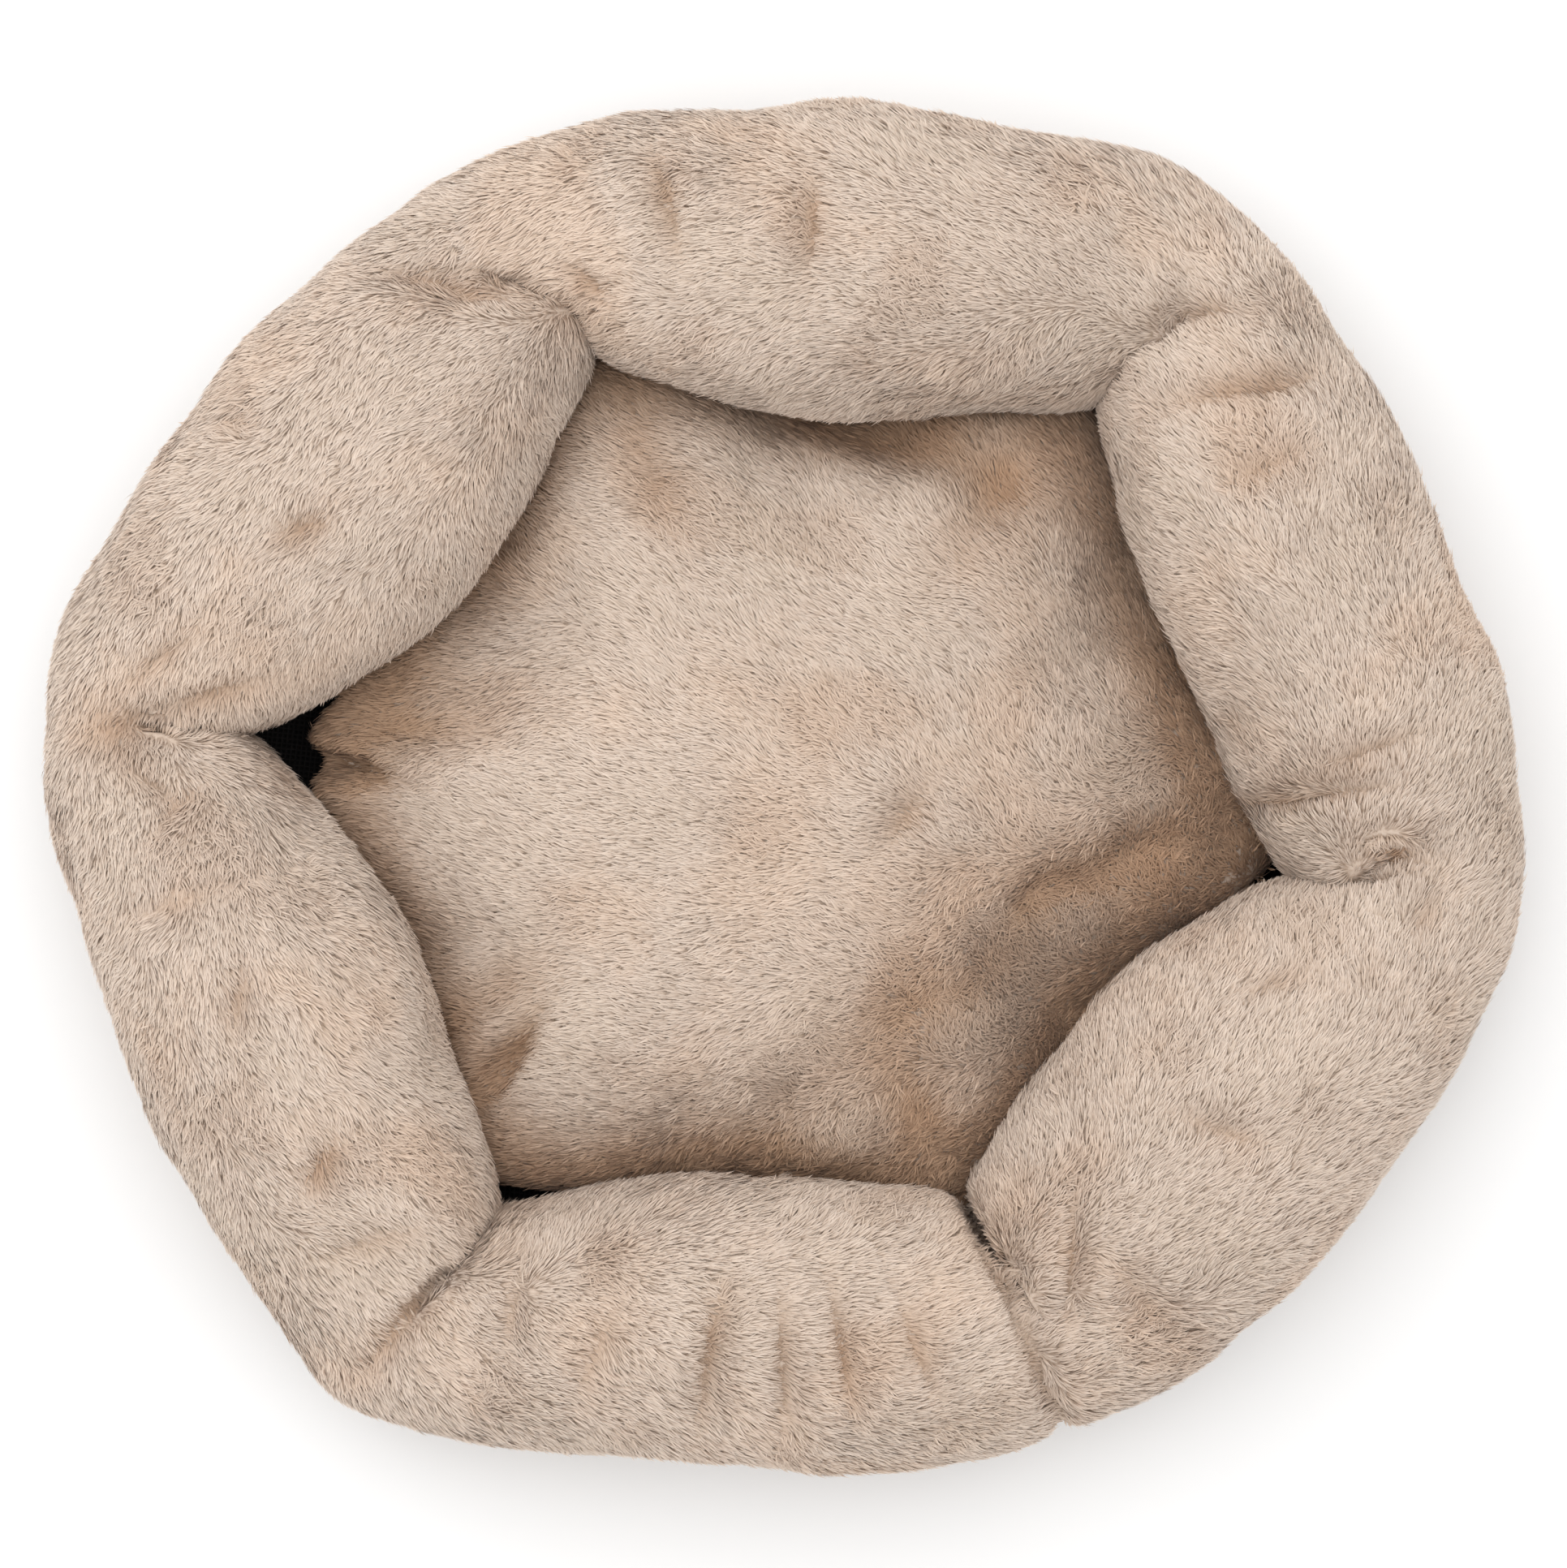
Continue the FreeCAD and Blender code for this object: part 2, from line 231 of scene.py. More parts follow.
def stuff(points, faces, hold, pressure, cap):
    """Blows the cover up with its filling by cloth simulation. No point moves further than `cap`."""
    cover = new_piece("cover_in_work", points, faces)
    group = cover.vertex_groups.new(name="hold")
    for index, weight in enumerate(hold):
        group.add([index], float(weight), "REPLACE")
    cloth = cover.modifiers.new("Cloth", "CLOTH")
    settings = cloth.settings
    settings.quality = 4
    settings.mass = 0.3
    settings.tension_stiffness = 12
    settings.compression_stiffness = 8
    settings.shear_stiffness = 6
    settings.bending_stiffness = 1.5
    settings.use_pressure = True
    settings.uniform_pressure_force = pressure
    settings.vertex_group_mass = "hold"
    settings.pin_stiffness = 1.0
    settings.shrink_min = -0.035
    settings.effector_weights.gravity = 0
    cloth.point_cache.frame_start = 1
    cloth.point_cache.frame_end = CLOTH_STEPS
    for step in range(1, CLOTH_STEPS + 1):
        bpy.context.scene.frame_set(step)
    blown = cover.evaluated_get(bpy.context.evaluated_depsgraph_get())
    places = np.zeros(len(points) * 3)
    blown.data.vertices.foreach_get("co", places)
    mesh = cover.data
    bpy.data.objects.remove(cover)
    bpy.data.meshes.remove(mesh)
    bpy.context.scene.frame_set(1)
    moved = places.reshape(-1, 3) - points
    length = np.linalg.norm(moved, axis=1)[:, None]
    print(f"stuffed {len(points)} points, moved {length.mean() * 1000:.2f} mm on average")
    return points + moved * np.minimum(1, cap / np.maximum(length, 1e-9))


def refine(grid):
    """Halves the cells of a grid that closes both ways, with cubic curves through its points."""
    for axis in (0, 1):
        before = np.roll(grid, 1, axis)
        after = np.roll(grid, -1, axis)
        beyond = np.roll(grid, -2, axis)
        middle = (9 * (grid + after) - before - beyond) / 16
        mixed = np.stack([grid, middle], axis=axis + 1)
        shape = list(grid.shape)
        shape[axis] *= 2
        grid = mixed.reshape(shape)
    return grid


def keep_between_corners(grid):
    """Moves what has swelled past a bolster's own end back to it, so that neighbours stay apart."""
    columns = grid.shape[0] // SIDES
    angle, reach = polar(grid)
    for side in range(SIDES):
        own = slice(side * columns, (side + 1) * columns)
        middle = (side + 0.5) * SIDE_TURN
        off = (angle[own] - middle + 180) % 360 - 180
        off[0] = -SIDE_TURN / 2
        margin = np.degrees(END_CLEARANCE / reach[own])
        margin[0] = 0
        limit = SIDE_TURN / 2 - margin
        plan = np.radians(middle + np.clip(off, -limit, limit))
        grid[own, :, 0] = reach[own] * np.cos(plan)
        grid[own, :, 1] = reach[own] * np.sin(plan)
    return grid


def relax_corners(grid):
    """Smooths the wrinkles that swelling leaves on the rim between each crease's end and the outside."""
    angle, reach = polar(grid)
    corner = np.round(angle / SIDE_TURN).astype(int) % SIDES
    away = np.abs((angle + SIDE_TURN / 2) % SIDE_TURN - SIDE_TURN / 2)
    near = 1 - smooth_step((away - RELAX_TURN) / RELAX_TURN_FADE)
    near = near * smooth_step((grid[..., 2] - LOW) / LOW_FADE)
    weight = RELAX_SHARE * near * smooth_step((reach - CREASE_END[corner] - RELAX_START) / RELAX_FADE)
    for _ in range(RELAX_PASSES):
        mean = (np.roll(grid, 1, 0) + np.roll(grid, -1, 0) + np.roll(grid, 1, 1) + np.roll(grid, -1, 1)) / 4
        grid = grid + weight[..., None] * (mean - grid)
    return grid


def lean_creases(points):
    """Turns each crease by its own lean about its gather, fading out along the sides and at the outside."""
    angle, reach = polar(points)
    turned = np.zeros_like(reach)
    for corner in range(SIDES):
        off = (angle - corner * SIDE_TURN + 180) % 360 - 180
        beyond = np.maximum(reach - GATHER[corner], 0)
        aside = GATHER[corner] * math.radians(GATHER_TURN[corner]) + beyond * math.tan(
            math.radians(CREASE_LEAN[corner])
        )
        fade = 1 - smooth_step((reach - LEAN_FADE) / LEAN_FADE_LENGTH)
        fade = fade * (1 - smooth_step(np.abs(off) / LEAN_TURN))
        turned += np.degrees(aside / reach) * fade
    plan = np.radians(angle + turned)
    points[..., 0] = reach * np.cos(plan)
    points[..., 1] = reach * np.sin(plan)
    return points


def grid_normals(grid):
    """Unit normals of a grid that closes both ways, pointing out of the tube."""
    along = np.roll(grid, -1, 0) - np.roll(grid, 1, 0)
    around = np.roll(grid, -1, 1) - np.roll(grid, 1, 1)
    normal = np.cross(along, around)
    return normal / np.maximum(np.linalg.norm(normal, axis=-1, keepdims=True), 1e-12)


# Dents and folds of the rim: plan angle, reach, heading from straight out, half length, half width, depth.
RIM_DENTS = [
    (107.3, 0.248, 4, 0.022, 0.006, 0.0050),
    (93.3, 0.231, 0, 0.018, 0.006, 0.0045),
    (100.0, 0.262, 0, 0.030, 0.012, 0.0020),
    (156.7, 0.224, 60, 0.013, 0.008, 0.0060),
    (152.2, 0.268, 40, 0.010, 0.006, 0.0030),
    (131.0, 0.256, 50, 0.022, 0.006, 0.0045),
    (128.0, 0.238, 62, 0.014, 0.006, 0.0045),
    (117.0, 0.226, 30, 0.010, 0.004, 0.0040),
    (206.5, 0.238, 60, 0.014, 0.007, 0.0045),
    (224.5, 0.242, 30, 0.012, 0.007, 0.0050),
    (196.0, 0.252, 10, 0.022, 0.007, 0.0030),
    (176.0, 0.240, 25, 0.020, 0.005, 0.0045),
    (173.5, 0.262, 50, 0.018, 0.005, 0.0035),
    (185.0, 0.262, -35, 0.016, 0.006, 0.0040),
    (180.5, 0.278, 0, 0.016, 0.012, 0.0050),
    (187.5, 0.250, 50, 0.014, 0.005, 0.0030),
    (268.0, 0.232, 0, 0.026, 0.0055, 0.0050),
    (275.5, 0.232, 4, 0.026, 0.0050, 0.0045),
    (281.5, 0.226, 6, 0.024, 0.0050, 0.0045),
    (289.0, 0.232, 8, 0.024, 0.0055, 0.0040),
    (257.0, 0.240, -4, 0.022, 0.0060, 0.0030),
    (48.0, 0.247, -28, 0.026, 0.0060, 0.0045),
    (45.3, 0.262, -19, 0.014, 0.0060, 0.0035),
    (55.0, 0.262, -45, 0.018, 0.0045, 0.0035),
    (40.0, 0.236, -10, 0.016, 0.0060, 0.0025),
    (5.6, 0.214, 10, 0.028, 0.0050, 0.0060),
    (10.0, 0.236, 18, 0.022, 0.0050, 0.0040),
    (0.9, 0.250, 0, 0.011, 0.0070, 0.0080),
    (355.0, 0.266, 70, 0.010, 0.0060, 0.0040),
    (344.7, 0.214, 40, 0.018, 0.006, 0.0035),
    (328.1, 0.223, 20, 0.018, 0.006, 0.0035),
    (307.5, 0.222, -35, 0.024, 0.005, 0.0050),
    (311.0, 0.246, 10, 0.024, 0.008, 0.0030),
    (299.5, 0.262, 0, 0.022, 0.006, 0.0040),
    (240.0, 0.270, 0, 0.022, 0.006, 0.0045),
    (233.0, 0.250, -30, 0.020, 0.006, 0.0030),
    (248.0, 0.240, 20, 0.016, 0.006, 0.0035),
]
SEAM_CORNER = 5  # here the crease goes on as a seam to a notch in the outline

DENT_FORCE = 1.25  # each dent is pressed this many times its given depth
DENT_FADE = 0.03  # the dents grow in over this far above the lowest height that they reach
DENT_LIP = 0.35  # each dent's lips swell up by this share of its depth, over a LIP_WIDTH times wider strip
LIP_WIDTH = 2.6


def along_and_aside(points, angle, reach, heading):
    """How far each point is from a dent's middle, along the dent's line and aside from it."""
    plan = math.radians(angle)
    line = math.radians(angle + heading)
    off_x = points[..., 0] - reach * math.cos(plan)
    off_y = points[..., 1] - reach * math.sin(plan)
    along = off_x * math.cos(line) + off_y * math.sin(line)
    return along, off_y * math.cos(line) - off_x * math.sin(line)


def dent(points, normals, dents, lowest):
    """Presses the dents into the surface along its normals, above the height `lowest`."""
    depth = np.zeros(points.shape[:-1])
    for angle, reach, heading, half_length, half_width, deep in dents:
        along, aside = along_and_aside(points, angle, reach, heading)
        press = np.exp(-((along / half_length) ** 2) - (aside / half_width) ** 2)
        swell = np.exp(-((along / half_length) ** 2) - (aside / half_width / LIP_WIDTH) ** 2)
        depth += DENT_FORCE * deep * (press - DENT_LIP * swell)
    depth *= smooth_step((points[..., 2] - lowest) / DENT_FADE)
    return points - normals * depth[..., None]


def lump(points, normals, seed, heights):
    """Uneven filling: each (size, height) adds smooth humps of that size along the normals."""
    flat = points.reshape(-1, 3)
    lift = sum(height * waves(flat, size, seed + i) for i, (size, height) in enumerate(heights))
    clear = smooth_step((flat[:, 2] - FOOT) / 0.02)
    return points + normals * (lift * clear).reshape(points.shape[:-1])[..., None]


def make_rim_grid():
    """The rim's whole skin as one closed grid."""
    grid = rim_grid()
    columns = grid.shape[0]
    at_corner = np.arange(columns) % COLUMNS == 0
    reach = polar(grid)[1]
    hold = np.full(grid.shape[:2], LOOSE)
    hold[grid[..., 2] < FOOT + 0.001] = 1.0
    slit_end = np.repeat(CREASE_END, COLUMNS)[:, None] + 0.002
    hold[at_corner[:, None] & (reach < slit_end)] = 1.0
    faces = grid_faces(columns, ROWS, True)
    points = stuff(grid.reshape(-1, 3), faces, hold.ravel(), RIM_PRESSURE, RIM_SWELL)
    grid = points.reshape(grid.shape)
    grid[..., 2] = np.maximum(grid[..., 2], foot_height(grid[..., 0], grid[..., 1]))
    grid = relax_corners(grid)
    grid = refine(grid)
    grid = keep_between_corners(grid)
    grid = lean_creases(grid)
    grid = lump(grid, grid_normals(grid), 20, [(0.060, 0.0022), (0.028, 0.0010)])
    grid = dent(grid, grid_normals(grid), RIM_DENTS, 0.055)
    angle, reach = polar(grid)
    off = (angle - SEAM_CORNER * SIDE_TURN + 180) % 360 - 180
    aside = np.radians(off) * reach
    seam = SEAM_DEPTH * np.exp(-((aside / SEAM_WIDTH) ** 2)) * smooth_step((grid[..., 2] - LOW) / LOW_FADE)
    grid -= grid_normals(grid) * seam[..., None]
    grid[..., 2] = np.maximum(grid[..., 2], foot_height(grid[..., 0], grid[..., 1]))
    return grid


Skin = namedtuple("Skin", "points normals triangles")


def slice_bolster(grid, normals, side):
    """One bolster of the rim's grid, closed at both ends, and the skin that its pile grows on."""
    columns = grid.shape[0] // SIDES
    rows = grid.shape[1]
    own = (np.arange(columns + 1) + side * columns) % grid.shape[0]
    quads = grid_faces(columns + 1, rows, False)
    skin = Skin(grid[own].reshape(-1, 3), normals[own].reshape(-1, 3),
                np.concatenate([quads[:, [0, 1, 2]], quads[:, [0, 2, 3]]]))
    faces = [tuple(f) for f in quads]
    ends = [grid[own[0]].mean(axis=0), grid[own[-1]].mean(axis=0)]
    points = np.concatenate([skin.points, ends])
    first = (columns + 1) * rows
    last_ring = columns * rows
    for row in range(rows):
        above = (row + 1) % rows
        faces.append((first, row, above))
        faces.append((first + 1, last_ring + above, last_ring + row))
    return new_piece(f"bolster_{side + 1}", points, faces), skin


TACK_LENGTH = 0.010
TACK_THICKNESS = 0.0028
TACK_STRANDS = 5
TACK_GROOVE = 0.14  # the strands' relief as a share of the radius
TACK_TWIST = 9
TACK_BEDDING = 0.004  # each tack is sunk this far outward into its gather


def make_tacks(grid):
    """Six short bars of thread, each across the slit at the bottom of a gather."""
    points = []
    faces = []
    columns = grid.shape[0] // SIDES
    along = 17
    around = 20
    for corner in range(SIDES):
        slit = grid[corner * columns]
        nearest = slit[np.argmin(polar(slit)[1])]
        plan = math.atan2(nearest[1], nearest[0])
        outward = np.array([math.cos(plan), math.sin(plan), 0.0])
        across = np.array([-math.sin(plan), math.cos(plan), 0.0])
        centre = nearest + outward * TACK_BEDDING
        first = len(points)
        for ring in range(along):
            place = 2 * ring / (along - 1) - 1
            for spoke in range(around):
                turn = math.tau * spoke / around
                groove = 1 + TACK_GROOVE * math.cos(TACK_STRANDS * turn + TACK_TWIST * place)
                radius = TACK_THICKNESS / 2 * math.sqrt(1.02 - place**2) * groove
                spot = centre + across * (place * TACK_LENGTH / 2)
                spot = spot + outward * (radius * math.cos(turn))
                points.append(spot + np.array([0.0, 0.0, radius * math.sin(turn)]))
        for ring in range(along - 1):
            for spoke in range(around):
                here = first + ring * around
                following = (spoke + 1) % around
                beyond = here + around
                faces.append((here + spoke, here + following, beyond + following, beyond + spoke))
        faces.append(tuple(first + spoke for spoke in reversed(range(around))))
        faces.append(tuple(first + (along - 1) * around + spoke for spoke in range(around)))
    return new_piece("tacks", points, faces)


# ------------------------------------------------------------------------------ the cushion's skin

CUSHION_CELLS = 64
CUSHION_SIDES = np.array([0.177, 0.167, 0.168, 0.181, 0.165, 0.166])  # each side's and corner's reach
CUSHION_CORNERS = np.array([0.208, 0.211, 0.207, 0.202, 0.207, 0.195])
CUSHION_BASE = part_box("floor_lining")[1][2] + 0.0006
CUSHION_SEAM = 0.026
CUSHION_CROWN = 0.078
CUSHION_ROUNDING = 4.0  # degrees either side of a corner
CUSHION_PULL = 1.7  # how sharply the sides pull in between the corners
CUSHION_PRESSURE = 3.0
CUSHION_SWELL = 0.009
SEAM_HOLD = 0.6

# The cushion's dents and folds, given as the rim's are.
CUSHION_DENTS = [
    (230.8, 0.160, 10, 0.022, 0.007, 0.0100),
    (222.0, 0.142, 0, 0.030, 0.012, 0.0040),
    (176.5, 0.160, 10, 0.036, 0.010, 0.0060),
    (182.5, 0.198, -8, 0.026, 0.0065, 0.0200),
    (168.0, 0.140, 20, 0.040, 0.014, 0.0040),
    (355.6, 0.054, 60, 0.014, 0.009, 0.0050),
    (345.9, 0.115, 70, 0.016, 0.010, 0.0050),
    (352.0, 0.138, 30, 0.030, 0.010, 0.0050),
    (358.2, 0.155, 10, 0.030, 0.012, 0.0050),
    (300.0, 0.150, 0, 0.030, 0.014, 0.0060),
    (60.0, 0.150, 0, 0.036, 0.014, 0.0050),
    (118.0, 0.150, 0, 0.036, 0.014, 0.0050),
    (318.0, 0.110, 80, 0.050, 0.016, 0.0040),
    (72.0, 0.156, 90, 0.050, 0.014, 0.0060),
]


def cushion_reach(angle):
    """The cushion's outline: six sides that pull in between its corners."""
    turn = (angle / SIDE_TURN) % SIDES
    corner = np.round(turn).astype(int) % SIDES
    away = np.abs(turn - np.round(turn)) * SIDE_TURN
    soft = np.sqrt(away**2 + CUSHION_ROUNDING**2) - CUSHION_ROUNDING
    near = np.clip(1 - soft / (SIDE_TURN / 2 - 0.9 * CUSHION_ROUNDING), 0, 1) ** CUSHION_PULL
    side = CUSHION_SIDES[np.floor(turn).astype(int) % SIDES]
    return side + (CUSHION_CORNERS[corner] - side) * near


def cushion_sheets():
    """Top and bottom panels as two square grids bent to the cushion's outline and joined at their edges."""
    line = np.linspace(-1, 1, CUSHION_CELLS + 1)
    across, up = np.meshgrid(line, line, indexing="ij")
    disc_x = across * np.sqrt(1 - up**2 / 2)
    disc_y = up * np.sqrt(1 - across**2 / 2)
    share = np.hypot(disc_x, disc_y)
    angle = np.degrees(np.arctan2(disc_y, disc_x))
    reach = share * cushion_reach(angle)
    plan = np.radians(angle)
    crown = CUSHION_SEAM + (CUSHION_CROWN - CUSHION_SEAM) * (1 - share**2.2) ** 0.8
    under = CUSHION_SEAM - (CUSHION_SEAM - CUSHION_BASE) * np.minimum(1.25 * (1 - share**8) ** 0.5, 1)
    top = np.stack([reach * np.cos(plan), reach * np.sin(plan), crown], axis=-1)
    bottom = np.stack([reach * np.cos(plan), reach * np.sin(plan), under], axis=-1)
    return top, bottom


def make_cushion():
    """The cushion's skin as one closed mesh."""
    top, bottom = cushion_sheets()
    size = CUSHION_CELLS + 1
    index = np.arange(size * size).reshape(size, size)
    edge = np.zeros((size, size), bool)
    edge[[0, -1], :] = True
    edge[:, [0, -1]] = True
    below = index + size * size
    below[edge] = index[edge]
    quads = [
        np.stack([index[:-1, :-1], index[1:, :-1], index[1:, 1:], index[:-1, 1:]], axis=-1),
        np.stack([below[:-1, :-1], below[:-1, 1:], below[1:, 1:], below[1:, :-1]], axis=-1),
    ]
    faces = np.concatenate(quads).reshape(-1, 4)
    points = np.concatenate([top.reshape(-1, 3), bottom.reshape(-1, 3)])
    used, faces = np.unique(faces, return_inverse=True)
    points = points[used]
    faces = faces.reshape(-1, 4)
    hold = np.where(points[:, 2] < CUSHION_BASE + 0.002, 1.0, LOOSE)
    hold[np.abs(points[:, 2] - CUSHION_SEAM) < 0.0005] = SEAM_HOLD
    points = stuff(points, faces, hold, CUSHION_PRESSURE, CUSHION_SWELL)
    points[:, 2] = np.maximum(points[:, 2], CUSHION_BASE)
    cushion = new_piece("cushion", points, faces)
    smooth = cushion.modifiers.new("Subdivision", "SUBSURF")
    smooth.levels = 1
    smooth.render_levels = 1
    apply_modifiers(cushion)
    skin = skin_of(cushion)
    points = lump(skin.points, skin.normals, 40, [(0.070, 0.0030), (0.030, 0.0012)])
    points = dent(points, skin.normals, CUSHION_DENTS, 0.012)
    points[:, 2] = np.maximum(points[:, 2], CUSHION_BASE)
    cushion.data.vertices.foreach_set("co", points.ravel())
    cushion.data.update()
    return cushion


def apply_modifiers(piece):
    """Leaves the piece as the plain mesh that its modifiers make."""
    made = bpy.data.meshes.new_from_object(piece.evaluated_get(bpy.context.evaluated_depsgraph_get()))
    piece.modifiers.clear()
    old = piece.data
    piece.data = made
    bpy.data.meshes.remove(old)
    piece.data.name = piece.name
    piece.data.shade_smooth()


def skin_of(piece):
    """A piece's mesh as arrays."""
    mesh = piece.data
    mesh.calc_loop_triangles()
    points = np.zeros(len(mesh.vertices) * 3)
    normals = np.zeros(len(mesh.vertices) * 3)
    triangles = np.zeros(len(mesh.loop_triangles) * 3, int)
    mesh.vertices.foreach_get("co", points)
    mesh.vertices.foreach_get("normal", normals)
    mesh.loop_triangles.foreach_get("vertices", triangles)
    return Skin(points.reshape(-1, 3), normals.reshape(-1, 3), triangles.reshape(-1, 3))


# ---------------------------------------------------------------------------------------- the pile

BLADE_LENGTH = 0.0086
RIM_BLADE_WIDTH = 0.00085
CUSHION_BLADE_WIDTH = 0.00090
TUFTING = 0.14  # how far each tip is drawn to its tuft's own
CLUMP = 0.0040  # the spacing of the pile's tufts
CELLS_ACROSS = 4096  # more cells than the tufts' lattice has along any axis
SWERVE = 0.14  # radians that each blade, and each tuft, turns off the nap
ROUGH_SWERVE = 1.6  # the share more that it turns where it is brushed the wrong way
BLADE_LIFT = 0.50  # how steeply the blades stand, as rise over run
LIFT_SPREAD = 0.12
ROUGH_LIFT = 0.18  # the steeper stand where it is brushed the wrong way
BLADE_TWIST = 0.22
MIDDLE_RUN = 0.40  # the shares of run and rise that a blade's middle and tip have reached
MIDDLE_RISE = 0.32
TIP_RUN = 0.86
TIP_RISE = 0.44
TUFT_RISE = 0.48
BLADES_PER_BOLSTER = 98000
BLADES_ON_CUSHION = 90000  # in each of its two coats
RIM_BRUSHED_SHADE = 0.25  # painted shade where the pile is brushed the wrong way: this on the rim, the next on the cushion
CUSHION_BRUSHED_SHADE = 0.42


def unit(vectors):
    """Each vector made one long."""
    return vectors / np.maximum(np.linalg.norm(vectors, axis=-1, keepdims=True), 1e-12)


def scatter(skin, count, density):
    """Roots spread over a skin by area times density: their points and normals."""
    a, b, c = (skin.points[skin.triangles[:, i]] for i in range(3))
    slant = np.cross(b - a, c - a)
    weight = np.linalg.norm(slant, axis=1) * density((a + b + c) / 3, unit(slant))
    chosen = rng.choice(len(weight), count, p=weight / weight.sum())
    first, second = rng.random(count), rng.random(count)
    over = first + second > 1
    first[over], second[over] = 1 - first[over], 1 - second[over]
    share = np.stack([1 - first - second, first, second], axis=1)[:, :, None]
    corners = skin.triangles[chosen]
    return (skin.points[corners] * share).sum(axis=1), unit((skin.normals[corners] * share).sum(axis=1))


def tufts(roots, spacing):
    """The number of the tuft that each root belongs to: the nearest of a jittered lattice's points."""
    cell = np.floor(roots / spacing).astype(int)
    best = np.full(len(roots), np.inf)
    mine = np.zeros(len(roots), np.int64)
    for dx in (-1, 0, 1):
        for dy in (-1, 0, 1):
            for dz in (-1, 0, 1):
                near = cell + (dx, dy, dz)
                code = (near[:, 0] * CELLS_ACROSS + near[:, 1]) * CELLS_ACROSS + near[:, 2]
                jitter = np.stack([spread(code, k) for k in (1, 2, 3)], axis=1)
                gap = ((near + jitter) * spacing - roots) ** 2
                gap = gap.sum(axis=1)
                closer = gap < best
                best[closer] = gap[closer]
                mine[closer] = code[closer]
    return np.unique(mine, return_inverse=True)[1]


def spread(code, salt):
    """A repeatable number from 0 to 1 for each whole number."""
    mixed = (code.astype(np.uint64) + np.uint64(salt * 7919)) * np.uint64(0x9E3779B97F4A7C15)
    mixed ^= mixed >> np.uint64(29)
    mixed *= np.uint64(0xBF58476D1CE4E5B9)
    mixed ^= mixed >> np.uint64(32)
    return (mixed & np.uint64(0xFFFFFF)).astype(float) / 0x1000000


def turn_about(vectors, axes, angles):
    """Vectors turned about unit axes that they are square to."""
    return vectors * np.cos(angles)[:, None] + np.cross(axes, vectors) * np.sin(angles)[:, None]


def grow_pile(name, skin, count, width, density, comb, hollows, material):
    """Covers a skin with blades of pile, combed and gathered in tufts, each bent and pointed at both ends."""
    roots, normals = scatter(skin, count, density)
    flow, rough, painted_comb_shade = comb(roots, normals)
    flow = unit(flow - normals * (flow * normals).sum(axis=1, keepdims=True))
    tuft = tufts(roots, CLUMP)
    tuft_count = tuft.max() + 1
    members = np.bincount(tuft, minlength=tuft_count)
    total = np.stack([np.bincount(tuft, roots[:, i], tuft_count) for i in range(3)], axis=1)
    heart = total / members[:, None]
    swerve = SWERVE * rng.normal(0, 1, count) + SWERVE * rng.normal(0, 1, tuft_count)[tuft]
    flow = turn_about(flow, normals, swerve * (1 + ROUGH_SWERVE * rough))
    tuft_tone = rng.normal(0, 1, tuft_count)[tuft]
    length = BLADE_LENGTH * rng.uniform(0.75, 1.15, count) * (1 + 0.08 * rng.normal(0, 1, tuft_count)[tuft])
    lift = BLADE_LIFT + LIFT_SPREAD * rng.normal(0, 1, count) + ROUGH_LIFT * rough
    lift = np.clip(lift, 0.25, 1.0)
    rise = (length * lift)[:, None] * normals
    run = length[:, None] * flow
    middle = roots + MIDDLE_RUN * run + MIDDLE_RISE * rise
    tip = roots + TIP_RUN * run + TIP_RISE * rise
    gathered = heart[tuft] + TIP_RUN * run + TUFT_RISE * rise
    tip += TUFTING * (gathered - tip)
    side = unit(np.cross(tip - roots, normals))
    side = unit(side + normals * rng.normal(0, BLADE_TWIST, count)[:, None])
    half = side * (width / 2 * rng.uniform(0.7, 1.3, count))[:, None]
    places = np.stack([roots, middle + half, tip, middle - half], axis=1)
    places[..., 2] = np.maximum(places[..., 2], FLOOR_CLEARANCE)
    tone = 0.5 + 0.11 * tuft_tone + 0.12 * rng.normal(0, 1, count)
    # Painted shade: darker and browner in the dents, plus what the comb adds for brushed patches and edges.
    painted_shade = np.clip(dent_shade(roots, hollows) + painted_comb_shade, 0, 1)
    return build_blades(name, places, tone, painted_shade, material)


def build_blades(name, places, tone, painted_shade, material):
    """The blades' mesh: four points and two triangles each, with a UV cell of its own for each blade."""
    count = len(places)
    mesh = bpy.data.meshes.new(name)
    mesh.vertices.add(count * 4)
    mesh.vertices.foreach_set("co", places.ravel())
    mesh.loops.add(count * 6)
    mesh.loops.foreach_set("vertex_index", (np.arange(count)[:, None] * 4 + (0, 1, 3, 3, 1, 2)).ravel())
    mesh.polygons.add(count * 2)
    mesh.polygons.foreach_set("loop_start", np.arange(count * 2) * 3)
    across = math.ceil(math.sqrt(count))
    cell = np.stack([np.arange(count) % across, np.arange(count) // across], axis=1)[:, None, :]
    root, right, tip, left = (0.5, 0.08), (0.92, 0.5), (0.5, 0.92), (0.08, 0.5)
    corners = (cell + (root, right, left, left, right, tip)) / across
    mesh.uv_layers.new(name="OFBake").data.foreach_set("uv", corners.astype(np.float32).ravel())
    # Each point keeps its height along the blade, its random tone, and its painted shade.
    for attribute, values in (("height", np.tile([0.0, 0.5, 1.0, 0.5], count)),
                              ("tone", np.repeat(tone, 4)),
                              ("painted_shade", np.repeat(painted_shade, 4))):
        mesh.attributes.new(attribute, "FLOAT", "POINT").data.foreach_set("value", values)
    mesh.update(calc_edges=True)
    mesh.shade_smooth()
    mesh.materials.append(material)
    piece = bpy.data.objects.new(name, mesh)
    bpy.context.scene.collection.objects.link(piece)
    return piece


FULL_SHADE_DEPTH = 0.008  # a dent this deep gets the full painted shade
